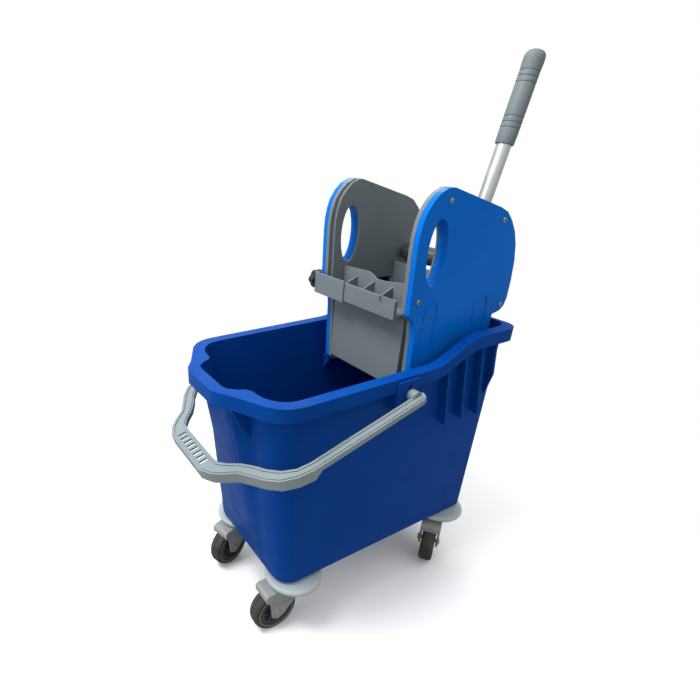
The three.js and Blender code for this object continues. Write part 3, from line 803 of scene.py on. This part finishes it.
@dataclass
class PressLever:
    """Hub, aluminium tube and soft grip of the press lever."""

    lean: float = 13.8
    tube: float = 10.5 * MM
    reach: float = 301.6 * MM
    grip_from: float = 178 * MM

    def place(self) -> Matrix:
        """Place whose local +Z runs up the lever from the shaft."""
        shaft, tube = middle("lever_shaft"), middle("lever_tube")
        at = Vector((shaft.x, tube.y, shaft.z))
        return Matrix.Translation(at) @ Matrix.Rotation(math.radians(self.lean), 4, "Y")

    def build(self) -> None:
        """Builds the lever's parts."""
        self._hub()
        self._tube()
        self._grip()
        dress(frame["nodes"]["lever_shaft"], ZINC)

    def _hub(self) -> None:
        """Barrel on the shaft with its end collar, and the socket that holds the tube."""
        shaft = middle("lever_shaft")
        barrel = [(7.3, -78), (12.6, -78), (13.4, -77.6), (15, -75.4), (15, 52), (15.6, 53), (18.4, 53.4),
                  (19, 54.2), (19, 59.6), (18.4, 60.6), (16, 61.2), (15.4, 63), (15, 68), (13.8, 73),
                  (11.6, 76.6), (9.4, 78.2), (7.3, 78.5)]
        socket = [(10.8, 19), (10.8, 66), (13.4, 66), (14, 65.4), (15.4, 56.4), (17, 52.6), (17.2, 51),
                  (17.2, 10), (9, 9), (9, 19)]
        parts = [turned("barrel", [(r * MM, z * MM) for r, z in barrel],
                        along_y(Vector((shaft.x, 0, shaft.z))), HUB_DARK, 72),
                 turned("socket", [(r * MM, z * MM) for r, z in socket], self.place(), HUB_DARK, 72)]
        settle(join("lever_socket", parts), "lever", ("lever_hub",))

    def _tube(self) -> None:
        """Drawn aluminium tube."""
        t, top = self.tube, self.reach - 14 * MM
        profile = [(t - 1.6 * MM, 20 * MM), (t, 20 * MM), (t, top), (t - 1.6 * MM, top)]
        tube = turned("tube", profile, self.place(), ALU, 72)
        settle(tube, "lever", ("lever_tube",))

    def _grip(self) -> None:
        """Soft grip with two groups of finger rings and a rounded end."""
        a, end = self.grip_from / MM, self.reach / MM
        profile = [(10.8, a), (12.4, a), (13.1, a + 0.6), (13.4, a + 2.4)]
        for first in (a + 20, end - 44):
            for i in range(3):
                s = first + i * 7.6
                profile += [(13.8, s), (13.7, s + 0.4), (13.1, s + 0.9), (13.1, s + 1.7), (13.8, s + 2.3)]
        profile += [(14.2, end - 20), (14.4, end - 14), (14.2, end - 9), (13.2, end - 5), (11, end - 2.2),
                    (7.6, end - 0.6), (3.6, end), (0, end), (0, end - 12), (10.8, end - 12)]
        # the bore runs back to where the sleeve begins, so the skin closes on itself
        grip = turned("grip", [(r * MM, z * MM) for r, z in profile], self.place(), GRIP_GREY, 72)
        settle(grip, "lever", ("lever_grip",))


# ---- studio -------------------------------------------------------------------------
@dataclass
class Studio:
    """Pale floor, soft lights and the camera."""

    from_pivot: tuple[float, float, float] = (-0.5012, -0.5550, 0.3212)
    heading: float = 0.5227
    dip: float = 0.4527
    roll: float = 0.0063
    lens: float = 25.06
    shift: tuple[float, float] = (0.1418, 0.0394)

    def build(self) -> None:
        """Adds the floor, the lights, the world and the camera."""
        self._floor()
        self._world()
        self._light("key", (-1.1, 0.2, 2.5), 0.9, 62)
        self._light("front", (-2.6, 0.3, 1.0), 1.0, 14)
        self._light("back", (1.2, 2.0, 2.2), 1.4, 16)
        self._camera()

    def _floor(self) -> None:
        """A plain pale floor that fades into the white surroundings."""
        mesh = bpy.data.meshes.new("floor")
        mesh.from_pydata([(-9, -9, 0), (9, -9, 0), (9, 9, 0), (-9, 9, 0)], [], [(0, 1, 2, 3)])
        floor = new_object("floor", mesh)
        mat = bpy.data.materials.new("floor_pale")
        mat.use_nodes = True
        tree = mat.node_tree
        skin = tree.nodes["Principled BSDF"]
        skin.inputs["Roughness"].default_value = 0.8
        skin.inputs["Specular IOR Level"].default_value = 0.1
        path = tree.nodes.new("ShaderNodeLightPath")
        tone = tree.nodes.new("ShaderNodeMapRange")
        tone.inputs["To Min"].default_value = 0.34
        tone.inputs["To Max"].default_value = 0.90
        tree.links.new(path.outputs["Is Camera Ray"], tone.inputs["Value"])
        tree.links.new(tone.outputs["Result"], skin.inputs["Base Color"])
        white = tree.nodes.new("ShaderNodeEmission")
        white.inputs["Strength"].default_value = 1.0
        far = tree.nodes.new("ShaderNodeVectorMath")
        far.operation = "LENGTH"
        tree.links.new(tree.nodes.new("ShaderNodeTexCoord").outputs["Object"], far.inputs[0])
        fade = tree.nodes.new("ShaderNodeMapRange")
        fade.interpolation_type = "SMOOTHSTEP"
        fade.inputs["From Min"].default_value = 0.15
        fade.inputs["From Max"].default_value = 0.85
        tree.links.new(far.outputs["Value"], fade.inputs["Value"])
        seen = tree.nodes.new("ShaderNodeMath")
        seen.operation = "MULTIPLY"
        tree.links.new(fade.outputs["Result"], seen.inputs[0])
        tree.links.new(path.outputs["Is Camera Ray"], seen.inputs[1])
        blend = tree.nodes.new("ShaderNodeMixShader")
        tree.links.new(seen.outputs[0], blend.inputs[0])
        tree.links.new(skin.outputs["BSDF"], blend.inputs[1])
        tree.links.new(white.outputs["Emission"], blend.inputs[2])
        tree.links.new(blend.outputs[0], tree.nodes["Material Output"].inputs["Surface"])
        mesh.materials.append(mat)

    def _world(self) -> None:
        """White surroundings for the camera, and a soft sky that is brighter overhead for the rest."""
        world = bpy.data.worlds.new("studio")
        world.use_nodes = True
        tree = world.node_tree
        sky = tree.nodes["Background"]
        sky.inputs["Color"].default_value = (0.97, 0.985, 1.0, 1)
        split = tree.nodes.new("ShaderNodeSeparateXYZ")
        tree.links.new(tree.nodes.new("ShaderNodeTexCoord").outputs["Generated"], split.inputs[0])
        rise = tree.nodes.new("ShaderNodeMapRange")
        for key, number in (("From Min", 0.0), ("From Max", 0.9), ("To Min", 0.30), ("To Max", 1.30)):
            rise.inputs[key].default_value = number
        tree.links.new(split.outputs["Z"], rise.inputs["Value"])
        tree.links.new(rise.outputs["Result"], sky.inputs["Strength"])
        white = tree.nodes.new("ShaderNodeBackground")
        white.inputs["Color"].default_value = (1, 1, 1, 1)
        blend = tree.nodes.new("ShaderNodeMixShader")
        tree.links.new(tree.nodes.new("ShaderNodeLightPath").outputs["Is Camera Ray"], blend.inputs[0])
        tree.links.new(sky.outputs[0], blend.inputs[1])
        tree.links.new(white.outputs[0], blend.inputs[2])
        tree.links.new(blend.outputs[0], tree.nodes["World Output"].inputs["Surface"])
        bpy.context.scene.world = world
        bpy.context.scene.view_settings.view_transform = "Standard"

    def _light(self, name: str, at: tuple[float, float, float], size: float, power: float) -> None:
        """Adds a soft area light aimed at the bucket.

        Args:
            name: the light's name.
            at: where it stands, in metres.
            size: side of its square, in metres.
            power: its power in watts.
        """
        data = bpy.data.lights.new(name, "AREA")
        data.size = size
        data.energy = power
        obj = bpy.data.objects.new(name, data)
        bpy.context.scene.collection.objects.link(obj)
        obj.location = at
        aim = Vector((0, 0, 0.35)) - Vector(at)
        obj.rotation_euler = aim.to_track_quat("-Z", "Y").to_euler()

    def _camera(self) -> None:
        """The camera, without depth of field."""
        data = bpy.data.cameras.new("camera")
        data.sensor_width = 36
        data.lens = self.lens
        data.shift_x, data.shift_y = self.shift
        data.clip_start = 0.01
        cam = bpy.data.objects.new("camera", data)
        bpy.context.scene.collection.objects.link(cam)
        pivot = middle("bail_pin_near")
        cam.location = Vector((pivot.x, 0, pivot.z)) + Vector(self.from_pivot)
        look = Vector((math.sin(self.heading) * math.cos(self.dip),
                       math.cos(self.heading) * math.cos(self.dip), -math.sin(self.dip)))
        turn = Matrix.Rotation(self.roll, 3, -look) @ look.to_track_quat("-Z", "Y").to_matrix()
        cam.rotation_euler = turn.to_euler()
        bpy.context.scene.camera = cam


def main() -> None:
    """Builds every sub-assembly in order."""
    builders = [Tub(), CarryHandle(), *[Castor(c) for c in CASTORS], *[SideCasing(s) for s in SIDES],
                Wringer(), PressLever(), Studio()]
    for builder in builders:
        builder.build()
        LOG.info("built %s", builder)


if __name__ == "__main__":
    main()
